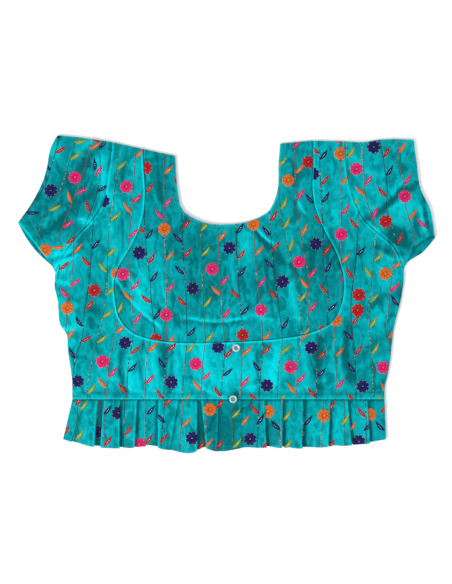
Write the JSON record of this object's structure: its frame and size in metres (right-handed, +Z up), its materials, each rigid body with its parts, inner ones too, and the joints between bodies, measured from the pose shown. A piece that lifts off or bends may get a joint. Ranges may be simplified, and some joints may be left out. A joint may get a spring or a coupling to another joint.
{
  "type": "choli blouse, laid flat with its front up",
  "caption": "Short turquoise choli blouse laid flat, front up: princess-cut front, cap sleeves, embroidered vines and a pleated peplum.",
  "frame": {"origin": "on the surface the garment lies on, under the middle of its outline", "axes": "+X across the garment to the viewer's right, +Y from the hem to the neck, +Z up from the surface through the back and then the front"},
  "size_m": [0.544, 0.4136, 0.0075],
  "materials": {
    "cloth": "satin",
    "back_cloth": "satin",
    "button": "glossy"
  },
  "bodies": {
    "root": {"front_bib": "cloth", "front_side_left": "cloth", "front_side_right": "cloth", "back_body": "back_cloth", "sleeve_left": "cloth", "sleeve_right": "cloth", "peplum_front_left": "cloth", "peplum_front_right": "cloth", "peplum_back": "back_cloth", "button_upper": "button", "button_lower": "button"}
  },
  "joints": []
}
